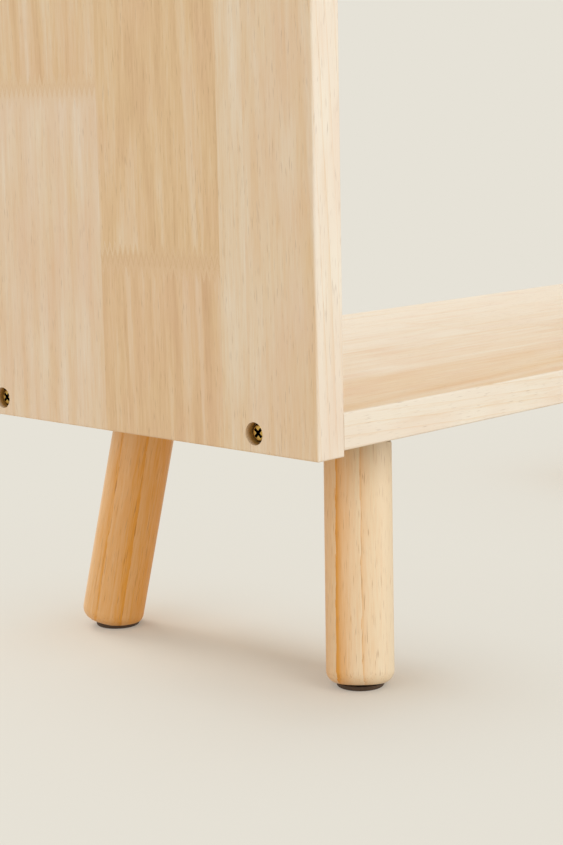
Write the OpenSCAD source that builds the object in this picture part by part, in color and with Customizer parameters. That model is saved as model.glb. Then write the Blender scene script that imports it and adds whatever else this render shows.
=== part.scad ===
// Low open bookcase for a child's room: two side panels, three fixed shelves
// and four round legs that splay outwards to the corners.
// X runs across the case, -Y is the front and Z is up from the floor.
// The origin lies on the floor under the middle of the case.

/* [Case] */
// Width over the two side panels
case_w = 700; // [560:10:900]
// Depth of the side panels and of the shelves
case_d = 270; // [240:5:340]
// Thickness of a side panel
panel_t = 18; // [16:1:24]
// Thickness of a shelf
shelf_t = 18; // [16:1:24]
// Clear height of the lower bay
lower_bay_h = 300; // [220:5:360]
// Clear height of the upper bay
upper_bay_h = 260; // [200:5:360]
// How far the side panels run past the bottom shelf and the top shelf
panel_lip = 3; // [2:0.5:12]
// Radius of the eased edges of the shelves and of the outer edges of the side panels
edge_r = 1; // [0.6:0.2:4]
// Radius of the inner edges of the side panels, against which the shelves end
inner_edge_r = 0.4; // [0.2:0.2:2]

/* [Shelf screws] */
// Diameter of the screw shank
screw_d = 4; // [3:0.5:5]
// Length of the screw under its head
screw_l = 45; // [35:5:60]
// Diameter of the screw head
screw_head_d = 10.4; // [8:0.2:11]
// Height of the screw head
screw_head_h = 2.8; // [2.4:0.2:4]
// Gap round the head in its counterbore
counterbore_gap = 0.4; // [0.3:0.1:1.5]
// Depth of the head's outer face below the face of the panel
screw_recess = 2.8; // [1:0.2:5]
// Distance of the screws from the front and rear edges of the case
screw_inset = 41; // [30:1:60]
// Height of the screws above the underside of their shelf
screw_rise = 6.3; // [6:0.1:9]
// Length across the cross in the screw head
cross_l = 5.8; // [4:0.2:7]
// Width of one slot of the cross
cross_w = 1.6; // [1:0.1:1.6]
// Turn of the cross in the screw head, in degrees
cross_turn = 42; // [0:1:89]
// Depth of the cross in the head
cross_depth = 1.8; // [1:0.2:2]

/* [Dowels] */
// Diameter of a dowel
dowel_d = 8; // [6:1:9]
// Length of a dowel
dowel_l = 30; // [24:2:40]
// Length of the dowel that sits in the side panel
dowel_in_panel = 10; // [8:0.5:11]
// Distance of the dowels from the front and rear edges of the case
dowel_inset = 92; // [80:2:110]

/* [Legs] */
// Height of the side panels' bottom edge above the floor
leg_room = 132; // [100:0.5:180]
// Diameter of a leg
leg_d = 35; // [32:1:42]
// Lean of a leg from upright, in degrees
leg_tilt = 11.3; // [6:0.1:15]
// Compass direction of the lean: 0 is straight sideways, 90 is straight to the front or rear
leg_turn = 41; // [30:1:60]
// Distance of a leg's axis from the outer face of the case, measured at the shelf's underside
leg_inset_x = 93; // [80:1:140]
// Distance of a leg's axis from the front or rear of the case, measured at the shelf's underside
leg_inset_y = 57.5; // [50:0.5:90]
// Height of the leg plate between the shelf and the middle of the leg's top
plate_drop = 12; // [11:0.5:16]
// Radius of the rounding round the lower end of a leg
foot_r = 7; // [3:0.5:9]
// How far the level cut for the floor goes up into the leg's round end
foot_cut = 0.5; // [0.3:0.1:3]
// Radius that eases the top rim of a leg
leg_rim_r = 0.8; // [0.4:0.1:1.5]

/* [Leg plates] */
// Side of the square flange
flange_w = 60; // [56:1:70]
// Corner radius of the flange
flange_r = 6; // [3:0.5:10]
// Thickness of the plate's sheet steel
sheet_t = 2.2; // [1.6:0.2:3]
// How much narrower than the leg the pressed cup of the plate is
cup_step = 1; // [0.5:0.5:4]
// Distance between neighbouring screw holes of the flange
flange_pitch = 46; // [44:1:48]
// Diameter of the hanger bolt
bolt_d = 8; // [6:1:10]
// Length of the hanger bolt inside the leg
bolt_in_leg = 30; // [20:2:40]
// Width across the flats of the nut welded into the cup
nut_w = 13; // [13:0.5:15]
// Height of the nut
nut_h = 5; // [4:0.5:6]

/* [Plate screws] */
// Diameter of the shank
plate_screw_d = 4; // [3:0.5:4.5]
// Length under the head
plate_screw_l = 14; // [12:1:16]
// Diameter of the head
plate_screw_head_d = 8; // [7:0.2:8.6]
// Height of the head
plate_screw_head_h = 2.6; // [2.4:0.2:3]

/* [Glides] */
// Diameter of the glide under each leg
glide_d = 24.5; // [20:0.5:25]
// Thickness of the glide
glide_t = 2.4; // [1.6:0.2:4]
// Radius of the glide's lower edge
glide_edge_r = 1; // [0.3:0.1:1.2]
// How far the glide's middle lies inwards from the axis of the leg
glide_shift = 3.5; // [2:0.1:4.5]
// Diameter of the nail
nail_d = 2; // [1.6:0.1:2.6]
// Length of the nail inside the leg
nail_l = 12; // [8:1:16]
// Diameter of the nail's head
nail_head_d = 6; // [5:0.5:7]
// Thickness of the nail's head
nail_head_h = 0.8; // [0.6:0.1:1]

/* [Hidden] */
$fn = 48;
// Gap all round between a shank, bolt or dowel and its hole
hole_gap = 0.15;
// Spare depth at the blind end of a hole
blind_gap = 1;
// Depth that the nail's head is sunk above the underside of the glide
nail_sink = 0.3;
// Extra reach of a cutting shape past the face that it cuts
cut = 1;
// Side of a block that covers a whole leg and its foot
cover = 400;

board_colour = "#dcbf98";
leg_colour = "#cf9c60";
dowel_colour = "#e3cda6";
brass_colour = "#7d6229";
steel_colour = "#4d443a";
zinc_colour = "#b9b7ae";
glide_colour = "#3b2a1e";

shelf_l = case_w - 2 * panel_t;
panel_h = 2 * panel_lip + 3 * shelf_t + lower_bay_h + upper_bay_h;
bottom_z = leg_room + panel_lip;
middle_z = bottom_z + shelf_t + lower_bay_h;
top_z = middle_z + shelf_t + upper_bay_h;
shelf_levels = [bottom_z, middle_z, top_z];

counterbore_d = screw_head_d + 2 * counterbore_gap;
counterbore_depth = screw_recess + screw_head_h;
shank_hole_d = screw_d + 2 * hole_gap;
shank_in_shelf = screw_l - (panel_t - counterbore_depth);
dowel_hole_d = dowel_d + 2 * hole_gap;
dowel_in_shelf = dowel_l - dowel_in_panel;

// Distances along a leg's axis, from where it meets the shelf's underside
leg_top_s = plate_drop / cos(leg_tilt);
leg_end_s = (bottom_z - glide_t + foot_cut) / cos(leg_tilt);
leg_l = leg_end_s - leg_top_s;
cup_d = leg_d - cup_step;
bolt_hole_d = bolt_d + 2 * hole_gap;
bolt_over_nut = 1;
bolt_l = bolt_in_leg + sheet_t + nut_h + bolt_over_nut;

SIDES = [-1, 1];

// Rectangle centred on the origin, with one corner radius on its -X side and another on its +X side
module two_radius_rect(w, h, low_r, high_r) {
    translate([low_r - w / 2, -h / 2])
        square([w - low_r - high_r, h]);
    for (x = SIDES) {
        r = x < 0 ? low_r : high_r;
        translate([x * w / 4, 0])
            square([w / 2, h - 2 * r], center = true);
        for (y = SIDES)
            translate([x * (w / 2 - r), y * (h / 2 - r)])
                circle(r);
    }
}

// Rectangle with rounded corners, centred on the origin
module rounded_rect(w, h, r) {
    two_radius_rect(w, h, r, r);
}

// Board standing on z = 0 with all twelve edges eased: its outer face looks to -X
module eased_board(w, d, h) {
    translate([0, 0, h / 2])
        intersection() {
            linear_extrude(h, center = true)
                two_radius_rect(w, d, edge_r, inner_edge_r);
            rotate([90, 0, 0])
                linear_extrude(d, center = true)
                    two_radius_rect(w, h, edge_r, inner_edge_r);
            rotate([90, 0, 90])
                linear_extrude(w, center = true)
                    rounded_rect(d, h, edge_r);
        }
}

// Puts its children at each screw of one side: +X points into the shelf from the panel's outer face
module at_shelf_screws(side) {
    for (z = shelf_levels, y = SIDES)
        translate([side * case_w / 2, y * (case_d / 2 - screw_inset), z + screw_rise])
            rotate([0, 0, side < 0 ? 0 : 180])
                children();
}

// Puts its children at each dowel of one shelf end: +X points into the shelf from its end face
module at_dowels(side, z) {
    for (y = SIDES)
        translate([side * shelf_l / 2, y * (case_d / 2 - dowel_inset), z + shelf_t / 2])
            rotate([0, 0, side < 0 ? 0 : 180])
                children();
}

// Rod along +X from x = from, with the given diameter and length
module rod_x(d, from, l) {
    translate([from, 0, 0])
        rotate([0, 90, 0])
            cylinder(d = d, h = l);
}

// Pan head screw along +Z: the head's underside is at z = 0 and the shank points up
module pan_screw(shank_d, shank_l, head_d, head_h) {
    tip_l = shank_d;
    dome_r = head_h;
    difference() {
        union() {
            cylinder(d = shank_d, h = shank_l - tip_l);
            translate([0, 0, shank_l - tip_l])
                cylinder(d1 = shank_d, d2 = shank_d / 4, h = tip_l);
            rotate_extrude()
                intersection() {
                    translate([0, -head_h])
                        square([head_d / 2, head_h]);
                    union() {
                        translate([0, -head_h])
                            square([head_d / 2 - dome_r, head_h]);
                        translate([head_d / 2 - dome_r, 0])
                            circle(dome_r);
                    }
                }
        }
        for (turn = [cross_turn, cross_turn + 90])
            rotate([0, 0, turn])
                translate([-cross_l / 2, -cross_w / 2, -head_h - cut])
                    cube([cross_l, cross_w, cross_depth + cut]);
    }
}

// Side panel with counterbored screw holes from outside and dowel holes from inside
module side_panel(side) {
    color(board_colour)
        difference() {
            translate([side * (case_w - panel_t) / 2, 0, leg_room])
                rotate([0, 0, side < 0 ? 0 : 180])
                    eased_board(panel_t, case_d, panel_h);
            at_shelf_screws(side) {
                rod_x(counterbore_d, -cut, counterbore_depth + cut);
                rod_x(shank_hole_d, -cut, panel_t + 2 * cut);
            }
            for (z = shelf_levels)
                at_dowels(side, z)
                    rod_x(dowel_hole_d, -dowel_in_panel - blind_gap, dowel_in_panel + blind_gap + cut);
        }
}

// Shelf between the panels: its long edges are eased and its ends are square
module shelf(z) {
    difference() {
        translate([0, 0, z + shelf_t / 2])
            rotate([90, 0, 90])
                linear_extrude(shelf_l, center = true)
                    rounded_rect(case_d, shelf_t, edge_r);
        for (side = SIDES) {
            for (y = SIDES)
                translate([side * shelf_l / 2, y * (case_d / 2 - screw_inset), z + screw_rise])
                    rotate([0, 0, side < 0 ? 0 : 180])
                        rod_x(shank_hole_d, -cut, shank_in_shelf + blind_gap + cut);
            at_dowels(side, z)
                rod_x(dowel_hole_d, -cut, dowel_in_shelf + blind_gap + cut);
        }
    }
}

module shelf_bottom() {
    color(board_colour)
        difference() {
            shelf(bottom_z);
            at_flange_screws()
                translate([0, 0, -cut])
                    cylinder(d = plate_screw_d + 2 * hole_gap,
                             h = plate_screw_l - sheet_t + blind_gap + cut);
        }
}

module shelf_middle() {
    color(board_colour)
        shelf(middle_z);
}

module shelf_top() {
    color(board_colour)
        shelf(top_z);
}

// Point on the underside of the bottom shelf where a leg's axis meets it
module at_leg(side, end) {
    translate([side * (case_w / 2 - leg_inset_x), end * (case_d / 2 - leg_inset_y), bottom_z])
        children();
}

// Turns +X to the compass direction in which a leg leans
module towards_corner(side, end) {
    rotate([0, 0, atan2(end * sin(leg_turn), side * cos(leg_turn))])
        children();
}

// Leg's own frame: z = 0 is the shelf's underside on its axis, and -Z runs down the leg
module along_leg(side, end) {
    at_leg(side, end)
        towards_corner(side, end)
            rotate([0, -leg_tilt, 0])
                children();
}

// Middle of a glide, on the level cut at the end of a leg
module at_glide(side, end) {
    reach = (bottom_z - glide_t) * tan(leg_tilt) - glide_shift;
    at_leg(side, end)
        towards_corner(side, end)
            translate([reach, 0, glide_t - bottom_z])
                children();
}

// Each screw of each leg plate, at the underside of the bottom shelf
module at_flange_screws() {
    for (side = SIDES, end = SIDES)
        at_leg(side, end)
            for (x = SIDES, y = SIDES)
                translate([x * flange_pitch / 2, y * flange_pitch / 2, 0])
                    children();
}

// Turned leg: square to its axis at the top, rounded at the end, then cut level for the floor
module leg(side, end) {
    color(leg_colour)
        difference() {
            intersection() {
                along_leg(side, end)
                    translate([0, 0, -leg_end_s])
                        rotate_extrude() {
                            translate([0, foot_r])
                                square([leg_d / 2, leg_l - foot_r - leg_rim_r]);
                            square([leg_d / 2 - foot_r, leg_l]);
                            translate([0, leg_l / 2])
                                square([leg_d / 2 - leg_rim_r, leg_l / 2]);
                            intersection() {
                                translate([leg_d / 2 - foot_r, foot_r])
                                    circle(foot_r);
                                square([leg_d / 2, leg_l]);
                            }
                            translate([leg_d / 2 - leg_rim_r, leg_l - leg_rim_r])
                                circle(leg_rim_r);
                        }
                at_leg(side, end)
                    translate([-cover / 2, -cover / 2, glide_t - bottom_z])
                        cube(cover);
            }
            along_leg(side, end)
                translate([0, 0, -leg_top_s - bolt_in_leg - blind_gap])
                    cylinder(d = bolt_hole_d, h = bolt_in_leg + blind_gap + cut);
            at_glide(side, end)
                translate([0, 0, -cut])
                    cylinder(d = nail_d + 2 * hole_gap, h = nail_l + blind_gap + cut);
        }
}

// Pressed steel plate: a flat flange under the shelf and a tilted cup that carries the leg
module leg_plate(side, end) {
    cup_in_d = cup_d - 2 * sheet_t;
    color(steel_colour)
        difference() {
            union() {
                at_leg(side, end)
                    translate([0, 0, -sheet_t])
                        linear_extrude(sheet_t)
                            rounded_rect(flange_w, flange_w, flange_r);
                intersection() {
                    along_leg(side, end)
                        translate([0, 0, -leg_top_s])
                            cylinder(d = cup_d, h = cover);
                    at_leg(side, end)
                        translate([-cover / 2, -cover / 2, -cover])
                            cube(cover);
                }
            }
            along_leg(side, end) {
                difference() {
                    translate([0, 0, -leg_top_s + sheet_t])
                        cylinder(d = cup_in_d, h = cover);
                    translate([0, 0, -leg_top_s])
                        cylinder(d = nut_w / cos(30), h = sheet_t + nut_h, $fn = 6);
                }
                translate([0, 0, -leg_top_s - cut])
                    cylinder(d = bolt_hole_d, h = cover);
            }
            at_leg(side, end)
                for (x = SIDES, y = SIDES)
                    translate([x * flange_pitch / 2, y * flange_pitch / 2, -sheet_t - cut])
                        cylinder(d = plate_screw_d + 2 * hole_gap, h = sheet_t + 2 * cut);
        }
}

// Hanger bolt: it stands in the nut of the plate and in the top of the leg
module hanger_bolts() {
    color(zinc_colour)
        for (side = SIDES, end = SIDES)
            along_leg(side, end)
                translate([0, 0, -leg_top_s - bolt_in_leg])
                    cylinder(d = bolt_d, h = bolt_l);
}

// Glide: a thin disc with an eased lower edge and a recess for the head of its nail
module glide(side, end) {
    color(glide_colour)
        at_glide(side, end)
            translate([0, 0, -glide_t])
                difference() {
                    rotate_extrude() {
                        square([glide_d / 2 - glide_edge_r, glide_t]);
                        translate([0, glide_edge_r])
                            square([glide_d / 2, glide_t - glide_edge_r]);
                        intersection() {
                            translate([glide_d / 2 - glide_edge_r, glide_edge_r])
                                circle(glide_edge_r);
                            square([glide_d / 2, glide_t]);
                        }
                    }
                    translate([0, 0, -cut])
                        cylinder(d = nail_d + 2 * hole_gap, h = glide_t + 2 * cut);
                    translate([0, 0, -cut])
                        cylinder(d = nail_head_d + 2 * hole_gap, h = nail_sink + nail_head_h + cut);
                }
}

module glide_nails() {
    shaft_l = glide_t - nail_sink - nail_head_h + nail_l;
    color(zinc_colour)
        for (side = SIDES, end = SIDES)
            at_glide(side, end)
                translate([0, 0, nail_sink - glide_t]) {
                    cylinder(d = nail_head_d, h = nail_head_h);
                    translate([0, 0, nail_head_h])
                        cylinder(d = nail_d, h = shaft_l);
                }
}

module shelf_screws() {
    color(brass_colour)
        for (side = SIDES)
            at_shelf_screws(side)
                translate([counterbore_depth, 0, 0])
                    rotate([0, 90, 0])
                        pan_screw(screw_d, screw_l, screw_head_d, screw_head_h);
}

module shelf_dowels() {
    color(dowel_colour)
        for (side = SIDES, z = shelf_levels)
            at_dowels(side, z)
                rod_x(dowel_d, -dowel_in_panel, dowel_l);
}

module plate_screws() {
    color(zinc_colour)
        at_flange_screws()
            translate([0, 0, -sheet_t])
                pan_screw(plate_screw_d, plate_screw_l, plate_screw_head_d, plate_screw_head_h);
}

side_panel(-1);  // side_panel_left
side_panel(1);  // side_panel_right
shelf_bottom();
shelf_middle();
shelf_top();
leg(-1, -1);  // leg_front_left
leg(1, -1);  // leg_front_right
leg(-1, 1);  // leg_rear_left
leg(1, 1);  // leg_rear_right
leg_plate(-1, -1);  // leg_plate_front_left
leg_plate(1, -1);  // leg_plate_front_right
leg_plate(-1, 1);  // leg_plate_rear_left
leg_plate(1, 1);  // leg_plate_rear_right
glide(-1, -1);  // glide_front_left
glide(1, -1);  // glide_front_right
glide(-1, 1);  // glide_rear_left
glide(1, 1);  // glide_rear_right
shelf_screws();
shelf_dowels();
plate_screws();
hanger_bolts();
glide_nails();
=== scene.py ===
"""Kids bookcase: finishes for its boards, legs and fittings, and the studio it stands in."""

import math
import random

import bpy
from bpy.props import FloatProperty, FloatVectorProperty, PointerProperty
from mathutils import Matrix, Vector


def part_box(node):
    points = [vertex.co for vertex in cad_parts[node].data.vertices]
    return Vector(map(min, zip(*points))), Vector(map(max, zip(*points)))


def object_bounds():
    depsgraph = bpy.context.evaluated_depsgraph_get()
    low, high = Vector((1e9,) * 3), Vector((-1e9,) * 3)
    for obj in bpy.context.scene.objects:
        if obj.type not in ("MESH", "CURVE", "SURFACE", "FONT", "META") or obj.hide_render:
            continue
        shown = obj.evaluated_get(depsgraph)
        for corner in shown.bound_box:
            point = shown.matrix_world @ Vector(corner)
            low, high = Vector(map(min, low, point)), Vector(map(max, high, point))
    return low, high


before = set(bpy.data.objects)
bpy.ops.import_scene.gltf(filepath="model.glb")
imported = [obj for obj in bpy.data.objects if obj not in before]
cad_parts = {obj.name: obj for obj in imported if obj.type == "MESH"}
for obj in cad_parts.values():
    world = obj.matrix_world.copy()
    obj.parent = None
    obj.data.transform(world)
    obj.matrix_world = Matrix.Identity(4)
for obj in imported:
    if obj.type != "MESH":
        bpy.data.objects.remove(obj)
cad_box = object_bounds()

bl_info = {
    "name": "Kids Bookcase",
    "version": (1, 0, 0),
    "blender": (4, 5, 0),
    "location": "3D View > Sidebar > Bookcase",
    "description": "Wood, metal and plastic finishes for a low bookcase, with a soft studio round it",
    "category": "Object",
}

# Inputs of a Mix node that blends colours, and its result
MIX_A = 6
MIX_B = 7
MIX_RESULT = 2

MM_PER_METRE = 1000
CORNERS = ("front_left", "front_right", "rear_left", "rear_right")

# The boards were sawn this far from the heart of their logs, which taper by this share of their length
HEART_DEPTH_MM = 60
LOG_TAPER = 0.034
# How far the growth rings of the boards and of the legs wander along the grain
BOARD_WANDER_MM = 4.0
LEG_WANDER_MM = 3.0
# How far the rings of the legs fray along the fibres
LEG_FRAY_MM = 2.4
# The paler wood round the heart of a log ends between these distances from the heart
ARCH_START_MM = 66.0
ARCH_END_MM = 67.4
# Size of the broad growth bands in a board
BAND_MM = 8
# Distance between the thin growth lines on a board's long narrow faces
LINE_MM = 4
# How much paler those faces are
EDGE_PALENESS = 0.35
# The glue of a finger joint shows over this length along the grain
GLUE_MM = 1.5
# Two woods blend over this length on either side of their joint
BLEND_MM = 6
# Width of the rounded strip along the long edges of a board
EDGE_MM = 1.2
# Painted shade darkens the wall of a bore between these depths below the face of its board
BORE_SHADE_START_MM = 0.5
BORE_SHADE_END_MM = 3.2
# Steps that give each wood, block and board a figure of its own
WOOD_STEP = 740.0
BLOCK_STEP = 17.3
BOARD_STEP = 31.7
# Patina and painted shade darken the heads of the shelf screws between these depths below the outer faces
# of the side panels
PATINA_AND_SHADE_START_MM = 2.9
PATINA_AND_SHADE_END_MM = 3.4
# The floor shows its shadow in full this far inside the feet
SHADOW_INSET_MM = 12
# How fast the painted backdrop glow covers the shadow to the sides and to the front and rear further out,
# and to the sides further in
FADE_OUTWARDS = (0.6, 1.0, 1.0)
FADE_INWARDS = (-1.3, 0.0, 1.0)

case_low, case_high = cad_box
case_depth_mm = (case_high.y - case_low.y) * MM_PER_METRE


def linear(hex_colour):
    """Linear red, green and blue of a written sRGB colour such as #E8D2AE."""
    shares = [int(hex_colour[i : i + 2], 16) / 255 for i in (1, 3, 5)]
    return [s / 12.92 if s <= 0.04045 else ((s + 0.055) / 1.055) ** 2.4 for s in shares]


def length(name, description, default, low=0.0, high=10.0):
    """A size in metres with its place in the sidebar."""
    return FloatProperty(
        name=name,
        description=description,
        default=default,
        min=low,
        max=high,
        precision=4,
        unit="LENGTH",
    )


def colour(name, description, default):
    """A colour written in sRGB hex with its place in the sidebar."""
    return FloatVectorProperty(
        name=name,
        description=description,
        default=linear(default),
        min=0.0,
        max=1.0,
        subtype="COLOR",
    )


def lamp_power(name, description, default):
    """The power of a lamp in watts with its place in the sidebar."""
    return FloatProperty(
        name=name,
        description=description,
        default=default,
        min=0.0,
        unit="POWER",
    )


def angle(name, description, degrees):
    """An angle with its place in the sidebar."""
    return FloatProperty(
        name=name,
        description=description,
        default=math.radians(degrees),
        unit="ROTATION",
    )


class BoardSettings(bpy.types.PropertyGroup):
    """Sizes and colours of the glued-up boards."""

    pale: colour("Pale wood", "Sapwood, the lightest tone in the boards", "#EBE2D1")
    tan: colour("Tan wood", "Middle tone of the boards", "#DFC196")
    brown: colour("Brown wood", "Darkest streaks of the boards", "#BE9263")
    pink: colour("Pink wood", "Tone of the rosier blocks", "#DDB597")
    pore: colour("Pores", "Open pores that show as short dashes", "#8A5E37")
    # Bore wall colour: end grain, with painted shade that deepens inwards and a painted warm reflection of
    # the brass screw head
    bore: colour("Bore wall", "End grain deep in a bore, browned by the drill", "#C68E2C")
    finger_pitch: length("Finger pitch", "Distance between the teeth of a finger joint", 0.0038)
    finger_length: length("Finger length", "Length of the teeth of a finger joint", 0.0065)
    block_length: length("Block length", "Length of one block between two finger joints", 0.34)


class LegSettings(bpy.types.PropertyGroup):
    """Sizes and colours of the turned legs."""

    early: colour("Early wood", "Pale wood grown at the start of each year", "#ECD8B7")
    late: colour("Late wood", "Orange-brown wood grown at the end of each year", "#DF9A36")
    pore: colour("Resin canals", "Short fine dashes along the leg", "#A0682F")
    ring_width: length("Ring width", "Distance between two growth rings", 0.0135)


class FittingSettings(bpy.types.PropertyGroup):
    """Colours of the screws, plates, bolts, nails, glides and dowels."""

    brass: colour("Antique brass", "Plating of the shelf screws", "#DDB866")
    # Patina with painted shade, almost black in the crosses and down the sides of the screw heads
    patina: colour("Brass patina", "Darkened brass in the crosses of the screws", "#1E1204")
    paint: colour("Plate paint", "Satin paint of the leg plates", "#4D443A")
    zinc: colour("Zinc", "Plating of the bolts, nails and plate screws", "#C9C7BE")
    plastic: colour("Glide plastic", "Matt plastic of the glides", "#54402F")
    beech: colour("Beech", "Raw wood of the dowels", "#E3CDA6")


class StageSettings(bpy.types.PropertyGroup):
    """Floor, light and camera."""

    floor: colour("Floor", "Painted studio floor", "#DDD1C0")
    backdrop: colour("Backdrop", "Colour behind the bookcase", "#E6E2D7")
    floor_radius: length("Floor radius", "Radius of the round studio floor", 9.0, 1.0, 40.0)
    key_power: lamp_power("Key light", "Power of the large lamp in front", 30.5)
    side_power: lamp_power("Side light", "Power of the large lamp on the left", 11.5)
    rear_power: lamp_power("Rear light", "Power of the high lamp behind", 27.0)
    back_power: lamp_power("Back light", "Power of the lamp behind on the left", 6.0)
    fill_power: lamp_power("Fill light", "Power of the low lamp in front on the right", 8.5)
    sky: FloatProperty(
        name="Room light",
        description="Strength of the even light from all round",
        default=0.67,
        min=0.0,
    )
    camera_place: FloatVectorProperty(
        name="Camera place",
        description="Where the camera stands",
        default=(-1.00311, -0.73058, 0.29975),
        subtype="TRANSLATION",
        unit="LENGTH",
    )
    camera_heading: angle("Camera heading", "Direction of the view, from +Y towards +X", 46.557)
    camera_dip: angle("Camera dip", "How far the view looks down", 9.539)
    camera_roll: angle("Camera roll", "How far the camera leans sideways", -1.120)
    lens: FloatProperty(
        name="Lens",
        description="Focal length in millimetres",
        default=83.37,
        min=10.0,
    )


def add(tree, kind, inputs=None, stops=None, **settings):
    """Adds a node, gives it its settings and colour stops, and links or sets its inputs."""
    made = tree.nodes.new(kind)
    for name, value in settings.items():
        setattr(made, name, value)
    if stops:
        elements = made.color_ramp.elements
        while len(elements) < len(stops):
            elements.new(1.0)
        for element, (position, shade) in zip(elements, stops):
            element.position = position
            element.color = (*shade, 1.0)
    for name, value in (inputs or {}).items():
        socket = made.inputs[name]
        if isinstance(value, bpy.types.NodeSocket):
            tree.links.new(value, socket)
        else:
            socket.default_value = value
    return made


def new_material(name, **surface):
    """A material, its nodes and its one Principled shader, whose inputs are named in surface."""
    material = bpy.data.materials.new(name)
    material.use_nodes = True
    shader = material.node_tree.nodes["Principled BSDF"]
    for socket, value in surface.items():
        shader.inputs[socket.replace("_", " ")].default_value = value
    return material, material.node_tree, shader


def dress(material, *nodes):
    """Gives a material to every material slot of the named CAD nodes."""
    for name in nodes:
        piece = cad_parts[name]
        if not piece.material_slots:
            piece.data.materials.append(material)
        for place in piece.material_slots:
            place.material = material


def seen_staves():
    """Staves of the left panel, from its front edge to the rear.

    Each has its width and the height of a finger joint in millimetres, and the wood below and above that
    joint. A wood has three shares: how dark it is, where the heart of its log lies across the board, and
    how pink it is.
    """
    return [
        (44, 262, (0.33, 0.42, 0.12), (0.30, 0.30, 0.10)),
        (17, 262, (0.31, 0.44, 0.00), (0.30, 0.30, 0.10)),
        (84, 88, (0.51, 0.95, 0.18), (0.53, 0.483, 0.05)),
        (84, 171, (0.30, 0.20, 0.18), (0.46, 0.90, 0.10)),
        (41, 60, (0.40, 0.60, 0.20), (0.35, 0.10, 0.20)),
    ]


def seen_shelf_staves():
    """Staves of the bottom shelf from its front edge to the rear, in the same form. Their pale woods,
    palest at the rear, are partly painted light on the shelf's top.
    """
    return [
        (66, 300, (0.32, 0.40, 0.05), (0.33, 0.42, 0.05)),
        (72, 330, (0.14, 0.15, 0.03), (0.16, 0.18, 0.05)),
        (70, 290, (0.05, 0.85, 0.00), (0.07, 0.80, 0.00)),
        (62, 250, (0.00, 0.25, 0.00), (0.01, 0.30, 0.00)),
    ]


def random_staves(seed, palest, darkest):
    """Staves of a board that the picture doesn't show, in the same form."""
    pick = random.Random(seed)
    staves = []
    left = case_depth_mm
    while left > 0:
        width = min(left, pick.randint(58, 88))
        # How dark a wood may be, where its heart may lie and how pink it may be
        ranges = ((palest, darkest), (0, 1), (0, 0.25))
        woods = [tuple(pick.uniform(low, high) for low, high in ranges) for _ in range(2)]
        staves.append((width, pick.randint(20, 320), *woods))
        left -= width
    return staves


def drawn_out(tree, grain, length_mm, width_mm, seed, detail=2.0):
    """Noise drawn out along the grain, which runs along X, with features of the given size."""
    shape = (1 / length_mm, 1 / width_mm, 1 / width_mm)
    place = add(tree, "ShaderNodeMapping", {0: grain, "Scale": shape}, vector_type="POINT").outputs[0]
    return add(
        tree,
        "ShaderNodeTexNoise",
        {"Vector": place, "W": seed, "Scale": 1.0, "Detail": detail, "Roughness": 0.6},
        noise_dimensions="4D",
    ).outputs[0]


def speckle(tree, size_mm, seed):
    """Noise with grains of the given size on Object coordinates."""
    place = add(tree, "ShaderNodeTexCoord").outputs["Object"]
    return add(
        tree,
        "ShaderNodeTexNoise",
        {"Vector": place, "W": seed, "Scale": MM_PER_METRE / size_mm, "Detail": 3.0},
        noise_dimensions="4D",
    ).outputs[0]


def tone_of(tree, base, *patterns):
    """Adds patterns, each a value between 0 and 1 and its strength, to a base tone."""
    tone = base
    for pattern, strength in patterns:
        centred = add(tree, "ShaderNodeMath", {0: pattern, 1: 0.5}, operation="SUBTRACT").outputs[0]
        added = {0: centred, 1: strength, 2: tone}
        tone = add(tree, "ShaderNodeMath", added, operation="MULTIPLY_ADD").outputs[0]
    return tone


def paint_two_shades(tree, shader, pattern, full, darker_share, low, high):
    """Paints a surface in a colour, and in a darker share of that colour where a pattern is low."""
    darker = [s * darker_share for s in full]
    shade = add(tree, "ShaderNodeValToRGB", {0: pattern}, stops=[(low, darker), (high, full)])
    tree.links.new(shade.outputs[0], shader.inputs["Base Color"])


def finish_wood(tree, shader, plain, pores, pore_shade, fibre):
    """Sinks the pores into the coloured wood and gives it the relief that stays open under lacquer."""
    colours = {0: pores, MIX_A: plain, MIX_B: (*pore_shade, 1)}
    final = add(tree, "ShaderNodeMix", colours, data_type="RGBA").outputs[MIX_RESULT]
    relief = {0: pores, 1: -1.0, 2: fibre}
    relief = add(tree, "ShaderNodeMath", relief, operation="MULTIPLY_ADD").outputs[0]
    bump = add(tree, "ShaderNodeBump", {"Height": relief, "Strength": 0.25, "Distance": 0.0002})
    tree.links.new(final, shader.inputs["Base Color"])
    tree.links.new(bump.outputs[0], shader.inputs["Normal"])


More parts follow.
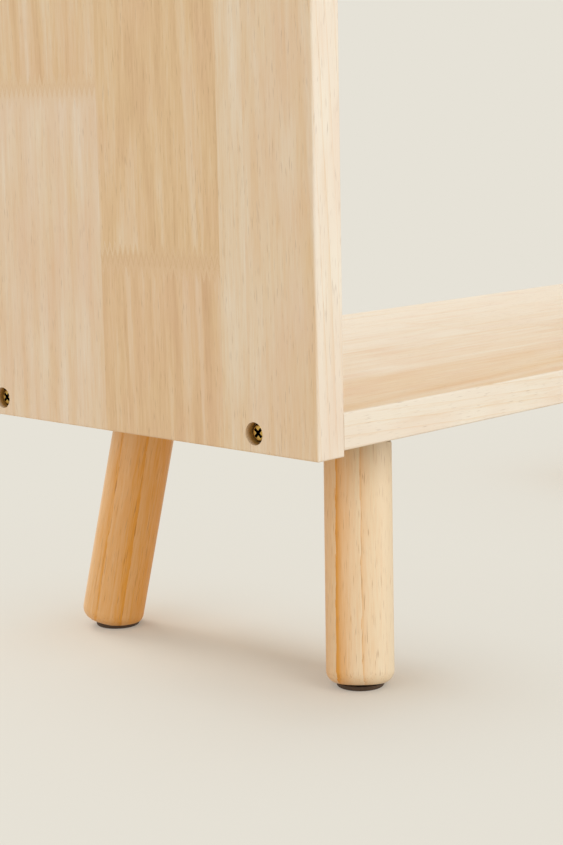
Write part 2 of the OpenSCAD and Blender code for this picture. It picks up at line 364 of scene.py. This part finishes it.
def stave_blocks(tree, along, across, staves, settings):
    """The number, glue line and wood of the block at each place of a board of staves and finger joints."""
    block_mm = settings.block_length * MM_PER_METRE
    finger_mm = settings.finger_length * MM_PER_METRE
    half_pitch = settings.finger_pitch * MM_PER_METRE / 2

    # Facts of the stave at this place across the board
    share = add(tree, "ShaderNodeMath", {0: across, 1: case_depth_mm}, operation="DIVIDE").outputs[0]
    widths, heights, woods_below, woods_above = zip(*staves)
    edges = [sum(widths[:i]) / case_depth_mm for i in range(len(widths))]
    joints = [(height / MM_PER_METRE,) * 3 for height in heights]
    ramps = []
    for facts in (joints, woods_below, woods_above):
        ramp = add(tree, "ShaderNodeValToRGB", {0: share}, stops=list(zip(edges, facts)))
        ramp.color_ramp.interpolation = "CONSTANT"
        ramps.append(ramp.outputs[0])
    joint, wood_below, wood_above = ramps

    # The border between two blocks runs in teeth
    teeth = add(tree, "ShaderNodeMath", {0: across, 1: half_pitch}, operation="PINGPONG").outputs[0]
    slope = {0: teeth, 1: finger_mm / half_pitch, 2: -finger_mm / 2}
    tooth = add(tree, "ShaderNodeMath", slope, operation="MULTIPLY_ADD").outputs[0]
    level = add(tree, "ShaderNodeMath", {0: along, 1: tooth}, operation="SUBTRACT").outputs[0]
    over = {0: joint, 1: -MM_PER_METRE, 2: level}
    over = add(tree, "ShaderNodeMath", over, operation="MULTIPLY_ADD").outputs[0]
    blocks = add(tree, "ShaderNodeMath", {0: over, 1: block_mm}, operation="DIVIDE").outputs[0]
    block = add(tree, "ShaderNodeMath", {0: blocks}, operation="FLOOR").outputs[0]
    rest = add(tree, "ShaderNodeMath", {0: blocks}, operation="FRACT").outputs[0]
    in_glue = {0: rest, 1: GLUE_MM / block_mm}
    glue = add(tree, "ShaderNodeMath", in_glue, operation="LESS_THAN").outputs[0]

    # The two woods take turns, and lacquer and glue soften the change over the joint
    odd = add(tree, "ShaderNodeMath", {0: block, 1: 2.0}, operation="FLOORED_MODULO").outputs[0]
    nearest = add(tree, "ShaderNodeMath", {0: rest, 1: 0.5}, operation="PINGPONG").outputs[0]
    softened = {"Value": nearest, "From Max": BLEND_MM / block_mm, "To Min": 0.7, "To Max": 1.0}
    weight = add(tree, "ShaderNodeMapRange", softened).outputs[0]
    other = add(tree, "ShaderNodeMath", {0: 1.0, 1: weight}, operation="SUBTRACT").outputs[0]
    odd = add(tree, "ShaderNodeMath", {0: odd, 1: other}, operation="SUBTRACT").outputs[0]
    odd = add(tree, "ShaderNodeMath", {0: odd}, operation="ABSOLUTE").outputs[0]
    woods = {0: odd, MIX_A: wood_above, MIX_B: wood_below}
    wood = add(tree, "ShaderNodeMix", woods, data_type="RGBA").outputs[MIX_RESULT]
    facts = add(tree, "ShaderNodeSeparateColor", {0: wood})
    return block, glue, facts.outputs[0], facts.outputs[1], facts.outputs[2]


def log_place(tree, along, across, deep, heart, seed):
    """Where a place in a board lay in its log: its grain coordinates and its distance from the heart."""
    # The heart lies from one board's width in front of the board to one board's width behind it
    to_heart = {0: heart, 1: -3 * case_depth_mm, 2: case_depth_mm}
    to_heart = add(tree, "ShaderNodeMath", to_heart, operation="MULTIPLY_ADD").outputs[0]
    sideways = add(tree, "ShaderNodeMath", {0: across, 1: to_heart}, operation="ADD").outputs[0]
    inwards = add(tree, "ShaderNodeMath", {0: deep, 1: HEART_DEPTH_MM}, operation="ADD").outputs[0]
    flat = add(tree, "ShaderNodeCombineXYZ", {0: sideways, 1: inwards}).outputs[0]
    radius = add(tree, "ShaderNodeVectorMath", {0: flat}, operation="LENGTH").outputs["Value"]
    grain = add(tree, "ShaderNodeCombineXYZ", {0: along, 1: sideways, 2: deep}).outputs[0]
    wander = drawn_out(tree, grain, 125, 20, seed)
    leaned = {0: along, 1: LOG_TAPER, 2: radius}
    leaned = add(tree, "ShaderNodeMath", leaned, operation="MULTIPLY_ADD").outputs[0]
    ring_place = {0: wander, 1: BOARD_WANDER_MM, 2: leaned}
    ring_place = add(tree, "ShaderNodeMath", ring_place, operation="MULTIPLY_ADD").outputs[0]
    return grain, ring_place


def with_bands(tree, tone, dark, ring_place, chance):
    """Adds broad growth bands to a tone, which show more in darker wood."""
    turns = {0: ring_place, 1: 1 / BAND_MM, 2: chance}
    turns = add(tree, "ShaderNodeMath", turns, operation="MULTIPLY_ADD").outputs[0]
    banding = {"W": turns, "Scale": 1.0, "Detail": 2.0, "Roughness": 0.6}
    band = add(tree, "ShaderNodeTexNoise", banding, noise_dimensions="1D").outputs[0]
    band = add(tree, "ShaderNodeMath", {0: band, 1: 0.5}, operation="SUBTRACT").outputs[0]
    band = add(tree, "ShaderNodeMath", {0: band, 1: dark}, operation="MULTIPLY").outputs[0]
    return add(tree, "ShaderNodeMath", {0: band, 1: 1.2, 2: tone}, operation="MULTIPLY_ADD").outputs[0]


def with_arch(tree, tone, ring_place):
    """Makes a tone paler in the young wood round the heart of the log, which shows as a pointed arch."""
    arch = {
        "Value": ring_place,
        "From Min": ARCH_START_MM,
        "From Max": ARCH_END_MM,
        "To Min": 0.15,
        "To Max": 0.0,
    }
    near_heart = add(tree, "ShaderNodeMapRange", arch, interpolation_type="SMOOTHSTEP").outputs[0]
    return add(tree, "ShaderNodeMath", {0: tone, 1: near_heart}, operation="SUBTRACT").outputs[0]


def long_edge(tree, across):
    """1 on a board's long narrow faces and the rounded strips beside them, and 0 on the rest."""
    off_middle = {0: across, 1: case_depth_mm / 2}
    off_middle = add(tree, "ShaderNodeMath", off_middle, operation="SUBTRACT").outputs[0]
    off_middle = add(tree, "ShaderNodeMath", {0: off_middle}, operation="ABSOLUTE").outputs[0]
    outer = {0: off_middle, 1: case_depth_mm / 2 - EDGE_MM}
    return add(tree, "ShaderNodeMath", outer, operation="GREATER_THAN").outputs[0]


def with_edge_lines(tree, tone, ring_place, outer, facing_across):
    """Makes a tone paler on a board's long narrow faces, with thin brown growth lines."""
    years = add(tree, "ShaderNodeMath", {0: ring_place, 1: LINE_MM}, operation="DIVIDE").outputs[0]
    season = add(tree, "ShaderNodeMath", {0: years}, operation="FRACT").outputs[0]
    late = add(tree, "ShaderNodeMath", {0: season, 1: 9.0}, operation="POWER").outputs[0]
    line = {0: late, 1: 0.25, 2: -EDGE_PALENESS}
    line = add(tree, "ShaderNodeMath", line, operation="MULTIPLY_ADD").outputs[0]
    line = add(tree, "ShaderNodeMath", {0: line, 1: outer}, operation="MULTIPLY").outputs[0]
    lined = {0: facing_across, 1: line, 2: tone}
    return add(tree, "ShaderNodeMath", lined, operation="MULTIPLY_ADD").outputs[0]


def half_size_mm(box, axis):
    """Half the size of a box along X, Y or Z, in millimetres."""
    start, end = box
    return (end - start)["XYZ".index(axis)] * MM_PER_METRE / 2


def bore_wall_and_shade(tree, along, deep, outer, facing_through, half_length_mm, half_mm, bore_grain_and_shade_share):
    """How much of the bore colour the wall of a bore takes: its end grain, with painted shade that grows
    the deeper it lies.
    """
    cut = {"Value": facing_through, "From Min": 0.7, "From Max": 0.1, "To Max": bore_grain_and_shade_share}
    cut = add(tree, "ShaderNodeMapRange", cut).outputs[0]
    off_core = add(tree, "ShaderNodeMath", {0: deep, 1: half_mm}, operation="SUBTRACT").outputs[0]
    off_core = add(tree, "ShaderNodeMath", {0: off_core}, operation="ABSOLUTE").outputs[0]
    deeper_shade = {"Value": off_core, "From Min": half_mm - BORE_SHADE_START_MM, "From Max": half_mm - BORE_SHADE_END_MM}
    deeper_shade = add(tree, "ShaderNodeMapRange", deeper_shade).outputs[0]

    # The ends and edges of the board aren't bores
    inner = add(tree, "ShaderNodeMath", {0: 1.0, 1: outer}, operation="SUBTRACT").outputs[0]
    from_end = {0: along, 1: half_length_mm}
    from_end = add(tree, "ShaderNodeMath", from_end, operation="PINGPONG").outputs[0]
    off_end = add(tree, "ShaderNodeMath", {0: from_end, 1: EDGE_MM}, operation="GREATER_THAN").outputs[0]
    inner = add(tree, "ShaderNodeMath", {0: inner, 1: off_end}, operation="MULTIPLY").outputs[0]
    cut = add(tree, "ShaderNodeMath", {0: cut, 1: inner}, operation="MULTIPLY").outputs[0]
    return add(tree, "ShaderNodeMath", {0: cut, 1: deeper_shade}, operation="MULTIPLY").outputs[0]


def board_wood(name, axes, box, staves, bore_grain_and_shade_share, settings, seed):
    """Edge-glued, finger-jointed rubberwood under satin lacquer: pale blocks with fine streaks and pores.

    Axes name which of X, Y and Z run along the grain, across the staves and through the thickness. Box
    holds the board's lowest and highest corner. Bore grain and shade share is how much of the bore colour,
    end grain with painted shade, its bores take.
    """
    material, tree, shader = new_material(name, IOR=1.5)

    # Millimetres from the board's lowest corner, and how squarely the surface faces each way
    place = add(tree, "ShaderNodeTexCoord")
    from_corner = [-MM_PER_METRE * s for s in box[0]]
    in_mm = {0: place.outputs["Object"], 1: [MM_PER_METRE] * 3, 2: from_corner}
    in_mm = add(tree, "ShaderNodeVectorMath", in_mm, operation="MULTIPLY_ADD").outputs[0]
    parts = add(tree, "ShaderNodeSeparateXYZ", {0: in_mm})
    along, across, deep = (parts.outputs[axis] for axis in axes)
    facing = {0: place.outputs["Normal"]}
    facing = add(tree, "ShaderNodeVectorMath", facing, operation="ABSOLUTE").outputs[0]
    facing = add(tree, "ShaderNodeSeparateXYZ", {0: facing})

    # Each block was cut from its own place in its own log
    block, glue, dark, heart, pink = stave_blocks(tree, along, across, staves, settings)
    shift = {0: block, 1: BLOCK_STEP, 2: seed * BOARD_STEP}
    shift = add(tree, "ShaderNodeMath", shift, operation="MULTIPLY_ADD").outputs[0]
    chance = {0: heart, 1: WOOD_STEP, 2: shift}
    chance = add(tree, "ShaderNodeMath", chance, operation="MULTIPLY_ADD").outputs[0]
    grain, ring_place = log_place(tree, along, across, deep, heart, chance)

    # Long streaks, fine fibres, growth bands, glue lines and paler places
    streak = drawn_out(tree, grain, 100, 5, chance)
    fibre = drawn_out(tree, grain, 16, 0.8, chance)
    blotch = drawn_out(tree, grain, 60, 16, shift, 1.0)
    tone = tone_of(tree, dark, (blotch, 0.22), (streak, 0.45), (fibre, 0.4))
    tone = with_bands(tree, tone, dark, ring_place, chance)
    tone = add(tree, "ShaderNodeMath", {0: glue, 1: 0.12, 2: tone}, operation="MULTIPLY_ADD").outputs[0]
    tone = with_arch(tree, tone, ring_place)
    outer = long_edge(tree, across)
    tone = with_edge_lines(tree, tone, ring_place, outer, facing.outputs[axes[1]])

    # Rosier places
    rosiness = drawn_out(tree, grain, 50, 18, heart, 1.0)
    pink = tone_of(tree, pink, (rosiness, 0.7))
    shades = [(0.0, settings.pale), (0.5, settings.tan), (1.0, settings.brown)]
    plain = add(tree, "ShaderNodeValToRGB", {0: tone}, stops=shades).outputs[0]
    blush = {0: pink, MIX_A: plain, MIX_B: (*settings.pink, 1)}
    rosy = add(tree, "ShaderNodeMix", blush, data_type="RGBA").outputs[MIX_RESULT]

    half_length_mm = half_size_mm(box, axes[0])
    half_mm = half_size_mm(box, axes[2])
    # The walls of the bores take the bore colour: end grain with painted shade and a painted warm
    # reflection of the screw heads
    cut = bore_wall_and_shade(tree, along, deep, outer, facing.outputs[axes[2]], half_length_mm, half_mm, bore_grain_and_shade_share)
    browned = {0: cut, MIX_A: rosy, MIX_B: (*settings.bore, 1)}
    browned = add(tree, "ShaderNodeMix", browned, data_type="RGBA").outputs[MIX_RESULT]

    # Open pores: dashes of a few millimetres along the grain, drawn wider than real ones so that they show
    holes = drawn_out(tree, grain, 7, 0.45, chance, 0.0)
    deepest = {"Value": holes, "From Min": 0.69, "From Max": 0.8, "To Max": 0.3}
    pores = add(tree, "ShaderNodeMapRange", deepest).outputs[0]
    finish_wood(tree, shader, browned, pores, settings.pore, fibre)

    # The lacquer is a little duller over the darker streaks
    gloss = {"Value": streak, "From Min": 0.3, "From Max": 0.7, "To Min": 0.46, "To Max": 0.54}
    rough = add(tree, "ShaderNodeMapRange", gloss).outputs[0]
    tree.links.new(rough, shader.inputs["Roughness"])
    return material


def leg_wood(name, foot, top, rings, settings, seed):
    """Turned softwood under satin lacquer: its broad growth rings run along the leg as stripes.

    Rings hold the direction of the log's bark, how far the first ring lies from the middle of the leg in
    millimetres, whether each ring darkens towards the bark (1) or the heart (-1), the leg's tone, how much
    it changes over a millimetre towards the bark, and how much paler the wood grown early in a year is.
    """
    material, tree, shader = new_material(name, Roughness=0.42, IOR=1.5)
    turn, ring_shift, growth, base, slant, contrast = rings

    # Millimetres in the leg's own frame, with X along its axis
    turned = Vector((1, 0, 0)).rotation_difference(top - foot).to_euler()
    place = add(tree, "ShaderNodeTexCoord").outputs["Object"]
    in_leg = {0: place, "Location": top, "Rotation": turned}
    own = add(tree, "ShaderNodeMapping", in_leg, vector_type="TEXTURE").outputs[0]
    own = {0: own, "Scale": MM_PER_METRE}
    own = add(tree, "ShaderNodeVectorMath", own, operation="SCALE").outputs[0]

    # Rings are nearly flat across a leg cut far from the heart of the log, and fray along the fibres
    wander = drawn_out(tree, own, 140, 20, seed * 5.1)
    fibre = drawn_out(tree, own, 14, 0.7, seed * 2.7)
    bark = (0.0, math.sin(turn), -math.cos(turn))
    reach = add(tree, "ShaderNodeVectorMath", {0: own, 1: bark}, operation="DOT_PRODUCT").outputs["Value"]
    moved = {0: wander, 1: LEG_WANDER_MM, 2: reach}
    moved = add(tree, "ShaderNodeMath", moved, operation="MULTIPLY_ADD").outputs[0]
    moved = {0: fibre, 1: LEG_FRAY_MM, 2: moved}
    moved = add(tree, "ShaderNodeMath", moved, operation="MULTIPLY_ADD").outputs[0]
    first_ring = ring_shift + (LEG_WANDER_MM + LEG_FRAY_MM) / 2
    moved = add(tree, "ShaderNodeMath", {0: moved, 1: first_ring}, operation="SUBTRACT").outputs[0]
    per_ring = growth / (settings.ring_width * MM_PER_METRE)
    years = add(tree, "ShaderNodeMath", {0: moved, 1: per_ring}, operation="MULTIPLY").outputs[0]
    season = add(tree, "ShaderNodeMath", {0: years}, operation="FRACT").outputs[0]

    # Wood grown late in the year is deeper, and ends in a thin dark line
    ground = {0: reach, 1: slant, 2: base}
    ground = add(tree, "ShaderNodeMath", ground, operation="MULTIPLY_ADD", use_clamp=True).outputs[0]
    late = add(tree, "ShaderNodeMath", {0: season, 1: 1.7}, operation="POWER").outputs[0]
    share = {0: late, 1: contrast, 2: 1.0 - contrast}
    share = add(tree, "ShaderNodeMath", share, operation="MULTIPLY_ADD").outputs[0]
    ground = add(tree, "ShaderNodeMath", {0: ground, 1: share}, operation="MULTIPLY").outputs[0]
    line = add(tree, "ShaderNodeMath", {0: season, 1: 14.0}, operation="POWER").outputs[0]
    ground = {0: line, 1: 0.2, 2: ground}
    ground = add(tree, "ShaderNodeMath", ground, operation="MULTIPLY_ADD").outputs[0]
    streak = drawn_out(tree, own, 90, 4, seed * 3.3, 3.0)
    tone = tone_of(tree, ground, (streak, 0.5), (fibre, 0.5))
    shades = [(0.0, settings.early), (1.0, settings.late)]
    plain = add(tree, "ShaderNodeValToRGB", {0: tone}, stops=shades).outputs[0]

    # Resin canals: short thin dashes, most of them in the late wood
    holes = drawn_out(tree, own, 9, 0.35, seed * 1.9, 0.0)
    crowded = {0: line, 1: 0.1, 2: holes}
    crowded = add(tree, "ShaderNodeMath", crowded, operation="MULTIPLY_ADD").outputs[0]
    deepest = {"Value": crowded, "From Min": 0.68, "From Max": 0.79, "To Max": 0.55}
    canals = add(tree, "ShaderNodeMapRange", deepest).outputs[0]
    finish_wood(tree, shader, plain, canals, settings.pore, fibre)
    return material


def antique_brass(settings):
    """Antique brass plating on steel: warm metal, made almost black in the cross and down the head's sides
    by patina and painted shade.
    """
    material, tree, shader = new_material("antique_brass_plating", Metallic=1.0, Roughness=0.38)
    grain = speckle(tree, 1.2, 1.0)
    dulled = [s * 0.75 for s in settings.brass]
    stops = [(0.35, dulled), (0.6, settings.brass)]
    plated = add(tree, "ShaderNodeValToRGB", {0: grain}, stops=stops).outputs[0]
    # Patina and painted shade darken the cross and the head's sides, more deeply below the panel's face
    place = add(tree, "ShaderNodeTexCoord").outputs["Object"]
    place = add(tree, "ShaderNodeVectorMath", {0: place}, operation="ABSOLUTE").outputs[0]
    sideways = add(tree, "ShaderNodeSeparateXYZ", {0: place}).outputs["X"]
    start = case_high.x - PATINA_AND_SHADE_START_MM / MM_PER_METRE
    end = case_high.x - PATINA_AND_SHADE_END_MM / MM_PER_METRE
    patina_and_shade = {"Value": sideways, "From Min": start, "From Max": end}
    patina_and_shade = add(tree, "ShaderNodeMapRange", patina_and_shade).outputs[0]
    darkened = {0: patina_and_shade, MIX_A: plated, MIX_B: (*settings.patina, 1)}
    shade = add(tree, "ShaderNodeMix", darkened, data_type="RGBA").outputs[MIX_RESULT]
    tree.links.new(shade, shader.inputs["Base Color"])
    return material


def painted_steel(settings):
    """Satin paint on pressed steel: dark, with the slight ripple of sprayed paint."""
    material, tree, shader = new_material("painted_pressed_steel", Roughness=0.4)
    grain = speckle(tree, 0.8, 2.0)
    paint_two_shades(tree, shader, grain, settings.paint, 0.8, 0.3, 0.7)
    bump = add(tree, "ShaderNodeBump", {"Height": grain, "Strength": 0.15, "Distance": 0.0001})
    tree.links.new(bump.outputs[0], shader.inputs["Normal"])
    return material


def zinc_plated_steel(settings):
    """Bright zinc plating: cool silver with faint spangle."""
    material, tree, shader = new_material("zinc_plated_steel", Metallic=1.0, Roughness=0.32)
    paint_two_shades(tree, shader, speckle(tree, 1.5, 3.0), settings.zinc, 0.75, 0.35, 0.65)
    return material


def moulded_plastic(settings):
    """Moulded polypropylene: matt dark brown, with its fine texture drawn at half a millimetre to show."""
    material, tree, shader = new_material("moulded_polypropylene", Roughness=0.7)
    grain = speckle(tree, 0.5, 4.0)
    paint_two_shades(tree, shader, grain, settings.plastic, 0.7, 0.3, 0.7)
    bump = add(tree, "ShaderNodeBump", {"Height": grain, "Strength": 0.2, "Distance": 0.0001})
    tree.links.new(bump.outputs[0], shader.inputs["Normal"])
    return material


def raw_beech(settings):
    """Raw turned beech: flecks about 17 mm long and 1 mm wide, along the dowel."""
    material, tree, shader = new_material("raw_beech", Roughness=0.65)
    place = add(tree, "ShaderNodeTexCoord").outputs["Object"]
    stretched = {0: place, "Scale": (60, 900, 900)}
    stretched = add(tree, "ShaderNodeMapping", stretched, vector_type="POINT").outputs[0]
    fleck = add(tree, "ShaderNodeTexNoise", {"Vector": stretched, "Scale": 1.0, "Detail": 3.0})
    paint_two_shades(tree, shader, fleck.outputs[0], settings.beech, 0.7, 0.3, 0.6)
    return material


class BOOKCASE_OT_boards(bpy.types.Operator):
    """Finishes the side panels and the shelves"""

    bl_idname = "bookcase.boards"
    bl_label = "Finish the boards"

    def execute(self, context):
        settings = context.scene.bookcase_boards
        # Which of X, Y and Z run along the grain, across the staves and through the thickness
        upright, level = "ZYX", "XYZ"
        boards = [
            ("side_panel_left", upright, seen_staves(), 0.9),
            ("side_panel_right", upright, random_staves(12, 0.2, 0.5), 0.9),
            ("shelf_bottom", level, seen_shelf_staves(), 0.0),
            ("shelf_middle", level, random_staves(8, 0.05, 0.3), 0.0),
            ("shelf_top", level, random_staves(3, 0.05, 0.3), 0.0),
        ]
        for seed, (name, axes, staves, bore_grain_and_shade_share) in enumerate(boards):
            wood = board_wood("lacquered_" + name, axes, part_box(name), staves, bore_grain_and_shade_share, settings, seed)
            dress(wood, name)
        return {"FINISHED"}


class BOOKCASE_OT_legs(bpy.types.Operator):
    """Finishes the four turned legs"""

    bl_idname = "bookcase.legs"
    bl_label = "Finish the legs"

    def execute(self, context):
        settings = context.scene.bookcase_legs
        # Bark direction, first ring, growth, tone, its change per millimetre and contrast of each leg
        legs = [
            ("front_left", (math.radians(-66.7), 5.1, -1, 0.61, -0.045, 0.62)),
            # The rear left leg's deep orange tone is partly painted shade and warm bounced light from
            # under the case
            ("rear_left", (math.radians(-35.8), 0.7, 1, 0.92, 0.012, 0.2)),
            ("front_right", (math.radians(20.0), 3.0, 1, 0.60, 0.0, 0.5)),
            ("rear_right", (math.radians(110.0), 8.0, 1, 0.75, 0.01, 0.4)),
        ]
        for seed, (corner, rings) in enumerate(legs):
            foot = sum(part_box("glide_" + corner), Vector()) / 2
            top = sum(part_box("leg_plate_" + corner), Vector()) / 2
            wood = leg_wood("lacquered_leg_" + corner, foot, top, rings, settings, seed)
            dress(wood, "leg_" + corner)
        return {"FINISHED"}


class BOOKCASE_OT_fittings(bpy.types.Operator):
    """Finishes the screws, plates, bolts, nails, glides and dowels"""

    bl_idname = "bookcase.fittings"
    bl_label = "Finish the fittings"

    def execute(self, context):
        settings = context.scene.bookcase_fittings
        dress(antique_brass(settings), "shelf_screws")
        dress(painted_steel(settings), *["leg_plate_" + corner for corner in CORNERS])
        dress(zinc_plated_steel(settings), "plate_screws", "hanger_bolts", "glide_nails")
        dress(moulded_plastic(settings), *["glide_" + corner for corner in CORNERS])
        dress(raw_beech(settings), "shelf_dowels")
        return {"FINISHED"}


def looked_at(tree, *rays):
    """1 for a ray of the named kinds, and 0 for the rays that carry light to the object."""
    path = add(tree, "ShaderNodeLightPath")
    seen = path.outputs[rays[0]]
    for ray in rays[1:]:
        seen = add(tree, "ShaderNodeMath", {0: seen, 1: path.outputs[ray]}, operation="MAXIMUM").outputs[0]
    return seen


def painted_floor(settings):
    """Matt paint on a studio floor, which away from the bookcase glows in the backdrop colour for the
    camera and in reflections: painted light over its shading and the bookcase's shadow.
    """
    material, tree, shader = new_material("painted_studio_floor", Roughness=0.8, Specular_IOR_Level=0.2)
    place = add(tree, "ShaderNodeTexCoord").outputs["Object"]
    # Cloudy patches of about 700 mm
    mottle = add(tree, "ShaderNodeTexNoise", {"Vector": place, "Scale": 1.4, "Detail": 2.0}).outputs[0]
    paint_two_shades(tree, shader, mottle, settings.floor, 0.97, 0.3, 0.7)

    # The rendered shadow shows in full along both sides between the front and rear feet, and the painted
    # glow covers it further in and out
    low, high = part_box("glide_front_right")
    foot_x = (low.x + high.x) / 2 - SHADOW_INSET_MM / MM_PER_METRE
    foot_y = -(low.y + high.y) / 2
    sides = add(tree, "ShaderNodeVectorMath", {0: place}, operation="ABSOLUTE").outputs[0]
    past = {0: sides, 1: (foot_x, foot_y, 0.0)}
    past = add(tree, "ShaderNodeVectorMath", past, operation="SUBTRACT").outputs[0]
    outside = {0: past, 1: FADE_OUTWARDS}
    outside = add(tree, "ShaderNodeVectorMath", outside, operation="MULTIPLY").outputs[0]
    inside = {0: past, 1: FADE_INWARDS}
    inside = add(tree, "ShaderNodeVectorMath", inside, operation="MULTIPLY").outputs[0]
    past = {0: outside, 1: inside}
    past = add(tree, "ShaderNodeVectorMath", past, operation="MAXIMUM").outputs[0]
    distance = add(tree, "ShaderNodeVectorMath", {0: past}, operation="LENGTH").outputs["Value"]
    # How much of the backdrop colour shows at each distance in metres from there
    shares = [(0.0, (0.08,) * 3), (0.06, (0.78,) * 3), (0.15, (0.94,) * 3), (0.5, (1.0,) * 3)]
    far = add(tree, "ShaderNodeValToRGB", {0: distance}, stops=shares)
    far.color_ramp.interpolation = "B_SPLINE"

    # Only the camera and reflections see the painted glow, while the matt floor still bounces light onto
    # the bookcase
    seen = looked_at(tree, "Is Camera Ray", "Is Glossy Ray")
    fade = add(tree, "ShaderNodeMath", {0: far.outputs[0], 1: seen}, operation="MULTIPLY").outputs[0]
    glow = add(tree, "ShaderNodeEmission", {"Color": (*settings.backdrop, 1), "Strength": 1.0})
    mixed = add(tree, "ShaderNodeMixShader", {0: fade, 1: shader.outputs[0], 2: glow.outputs[0]})
    tree.links.new(mixed.outputs[0], tree.nodes["Material Output"].inputs["Surface"])
    return material


def studio_room(settings):
    """Even white light from all round, in which the camera and reflections see the backdrop colour."""
    world = bpy.data.worlds.new("studio_room")
    world.use_nodes = True
    tree = world.node_tree
    light = tree.nodes["Background"]
    light.inputs["Color"].default_value = (1, 1, 1, 1)
    light.inputs["Strength"].default_value = settings.sky
    seen = looked_at(tree, "Is Camera Ray", "Is Glossy Ray", "Is Transmission Ray")
    backdrop = add(tree, "ShaderNodeBackground", {"Color": (*settings.backdrop, 1), "Strength": 1.0})
    mixed = add(tree, "ShaderNodeMixShader", {0: seen, 1: light.outputs[0], 2: backdrop.outputs[0]})
    tree.links.new(mixed.outputs[0], tree.nodes["World Output"].inputs["Surface"])
    return world


def soft_lamp(name, place, aim, size, power, glare):
    """A square white lamp that faces a point, and shows in glossy surfaces only where it may glare."""
    lamp = bpy.data.lights.new(name, "AREA")
    lamp.shape = "SQUARE"
    lamp.size = size
    lamp.energy = power
    holder = bpy.data.objects.new(name, lamp)
    holder.location = place
    holder.rotation_euler = (Vector(aim) - Vector(place)).to_track_quat("-Z", "Y").to_euler()
    holder.visible_glossy = glare
    bpy.context.scene.collection.objects.link(holder)


def aimed_camera(settings):
    """A camera at its place, turned to its heading, dipped and rolled."""
    view = bpy.data.cameras.new("camera")
    view.lens = settings.lens
    camera = bpy.data.objects.new("camera", view)
    turned = (
        Matrix.Rotation(-settings.camera_heading, 4, "Z")
        @ Matrix.Rotation(math.pi / 2 - settings.camera_dip, 4, "X")
        @ Matrix.Rotation(settings.camera_roll, 4, "Z")
    )
    camera.matrix_world = Matrix.Translation(settings.camera_place) @ turned
    bpy.context.scene.collection.objects.link(camera)
    return camera


class BOOKCASE_OT_stage(bpy.types.Operator):
    """Makes the floor, the light and the camera"""

    bl_idname = "bookcase.stage"
    bl_label = "Make the stage"

    def execute(self, context):
        settings = context.scene.bookcase_stage
        context.scene.view_settings.view_transform = "Standard"

        bpy.ops.mesh.primitive_circle_add(vertices=96, radius=settings.floor_radius, fill_type="NGON")
        floor = context.object
        floor.name = "floor"
        floor.data.materials.append(painted_floor(settings))
        context.scene.world = studio_room(settings)

        # The lamps in front and behind would glare on the lacquer, so only their soft light is kept
        soft_lamp("key_lamp", (-0.45, -2.7, 1.75), (-0.1, 0.0, 0.3), 1.4, settings.key_power, False)
        soft_lamp("rear_lamp", (0.1, 1.9, 1.7), (0.0, 0.0, 0.2), 1.2, settings.rear_power, False)
        soft_lamp("side_lamp", (-2.8, 0.2, 1.2), (0.0, 0.0, 0.3), 1.8, settings.side_power, True)
        soft_lamp("fill_lamp", (1.5, -2.1, 0.42), (-0.1, 0.0, 0.1), 0.8, settings.fill_power, True)
        soft_lamp("back_lamp", (-1.2, 2.6, 1.4), (0.0, 0.0, 0.3), 1.4, settings.back_power, True)
        context.scene.camera = aimed_camera(settings)
        return {"FINISHED"}


class BOOKCASE_PT_sidebar(bpy.types.Panel):
    """Sidebar page with the settings and the buttons"""

    bl_idname = "BOOKCASE_PT_sidebar"
    bl_label = "Kids Bookcase"
    bl_space_type = "VIEW_3D"
    bl_region_type = "UI"
    bl_category = "Bookcase"

    def draw(self, context):
        for name, (group, operator) in STEPS.items():
            box = self.layout.box()
            settings = getattr(context.scene, name)
            for setting in group.__annotations__:
                box.prop(settings, setting)
            box.operator(operator.bl_idname)


# Each step's settings as the scene keeps them, and the operator that reads them
STEPS = {
    "bookcase_stage": (StageSettings, BOOKCASE_OT_stage),
    "bookcase_boards": (BoardSettings, BOOKCASE_OT_boards),
    "bookcase_legs": (LegSettings, BOOKCASE_OT_legs),
    "bookcase_fittings": (FittingSettings, BOOKCASE_OT_fittings),
}


def register():
    """Makes the settings, the operators and the sidebar known to Blender."""
    for name, (group, operator) in STEPS.items():
        bpy.utils.register_class(group)
        bpy.utils.register_class(operator)
        setattr(bpy.types.Scene, name, PointerProperty(type=group))
    bpy.utils.register_class(BOOKCASE_PT_sidebar)


def unregister():
    """Takes them away again."""
    bpy.utils.unregister_class(BOOKCASE_PT_sidebar)
    for name, (group, operator) in STEPS.items():
        delattr(bpy.types.Scene, name)
        bpy.utils.unregister_class(operator)
        bpy.utils.unregister_class(group)


def main():
    """Runs every step in order."""
    register()
    bpy.ops.object.select_all(action="DESELECT")
    bpy.ops.bookcase.stage()
    bpy.ops.bookcase.boards()
    bpy.ops.bookcase.legs()
    bpy.ops.bookcase.fittings()


if __name__ == "__main__":
    main()
